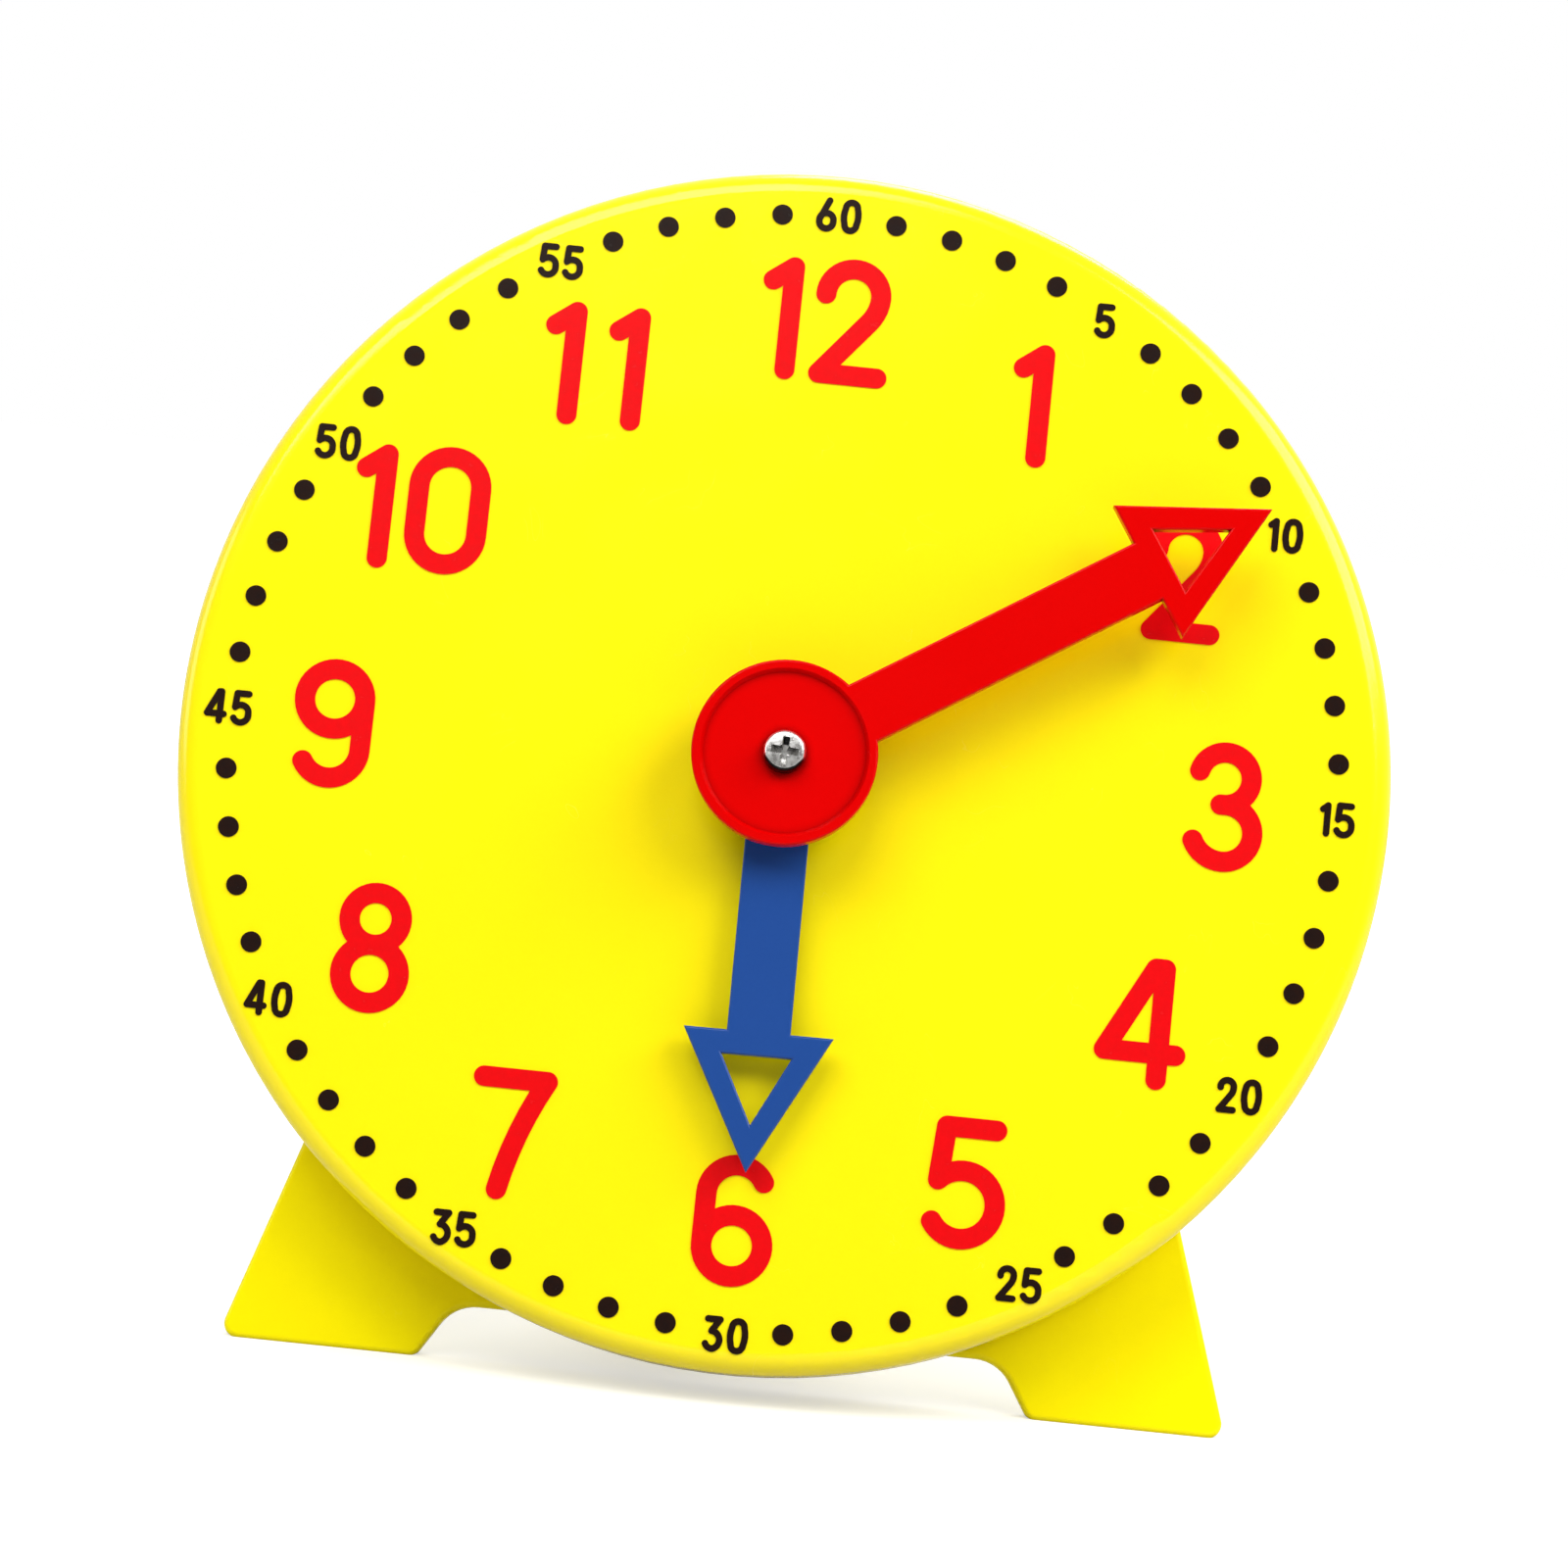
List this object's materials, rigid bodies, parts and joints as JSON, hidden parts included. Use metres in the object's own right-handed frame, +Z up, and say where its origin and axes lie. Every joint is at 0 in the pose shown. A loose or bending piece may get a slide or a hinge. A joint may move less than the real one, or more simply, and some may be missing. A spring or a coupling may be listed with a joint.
{
  "type": "geared teaching clock",
  "caption": "Round student clock for learning to tell the time: a yellow dial on feet with a prop leg, and a minute hand and an hour hand that turn together through gears.",
  "frame": {"origin": "on the surface the clock stands on, under the middle of its box at rest", "axes": "+Z up; the dial faces -Y and leans back 12 degrees, so its top lies towards +Y; +X is to the right of the dial as seen from the front (3 o'clock)"},
  "size_m": [0.1, 0.0408, 0.1006],
  "materials": {
    "yellow_dial": "smooth moulded styrene, satin gloss",
    "yellow_back": "smooth moulded styrene",
    "yellow_stand": "smooth moulded styrene",
    "steel": "zinc plated",
    "bright_nickel": "bright nickel plated",
    "red_print": "printed ink, semi matt",
    "black_print": "printed ink, semi matt",
    "white_nylon": "natural nylon",
    "white_gear": "moulded acetal",
    "red_hand": "smooth moulded plastic",
    "blue_hand": "smooth moulded plastic"
  },
  "bodies": {
    "case": {"dial_casing": "yellow_dial", "back_cover": "yellow_back", "stand_plate": "yellow_stand", "case_screws": "steel", "hour_numerals": "red_print", "minute_numerals": "black_print", "minute_dots": "black_print", "wheel_axle": "steel", "hinge_pin": "steel", "dial_washer": "white_nylon", "arbor_washer": "white_nylon"},
    "minute_set": {"minute_hand": "red_hand", "minute_arbor": "white_gear", "hand_screw": "bright_nickel", "hand_washer": "white_nylon"},
    "hour_set": {"hour_hand": "blue_hand", "hour_wheel": "white_gear"},
    "intermediate": {"intermediate_gear": "white_gear"},
    "prop": {"prop_leg": "yellow_stand"}
  },
  "joints": [
    {"name": "minute_turn", "type": "hinge", "parent": "case", "child": "minute_set", "pos_m": [0, -0.01022, 0.05201], "axis": [0, 0.9781, -0.2079], "continuous": true},
    {"name": "intermediate_turn", "type": "hinge", "parent": "case", "child": "intermediate", "pos_m": [0, -0.01396, 0.03441], "axis": [0, 0.9781, -0.2079], "continuous": true},
    {"name": "hour_turn", "type": "hinge", "parent": "case", "child": "hour_set", "pos_m": [0, -0.01022, 0.05201], "axis": [0, 0.9781, -0.2079], "continuous": true},
    {"name": "prop_fold", "type": "hinge", "parent": "case", "child": "prop", "pos_m": [0, 0.00797, 0.06348], "axis": [1, 0, 0], "range_deg": [-22, 0]}
  ],
  "couplings": [
    {"joint": "intermediate_turn", "follows": "minute_turn", "ratio": -0.33333},
    {"joint": "hour_turn", "follows": "minute_turn", "ratio": 0.083333}
  ]
}
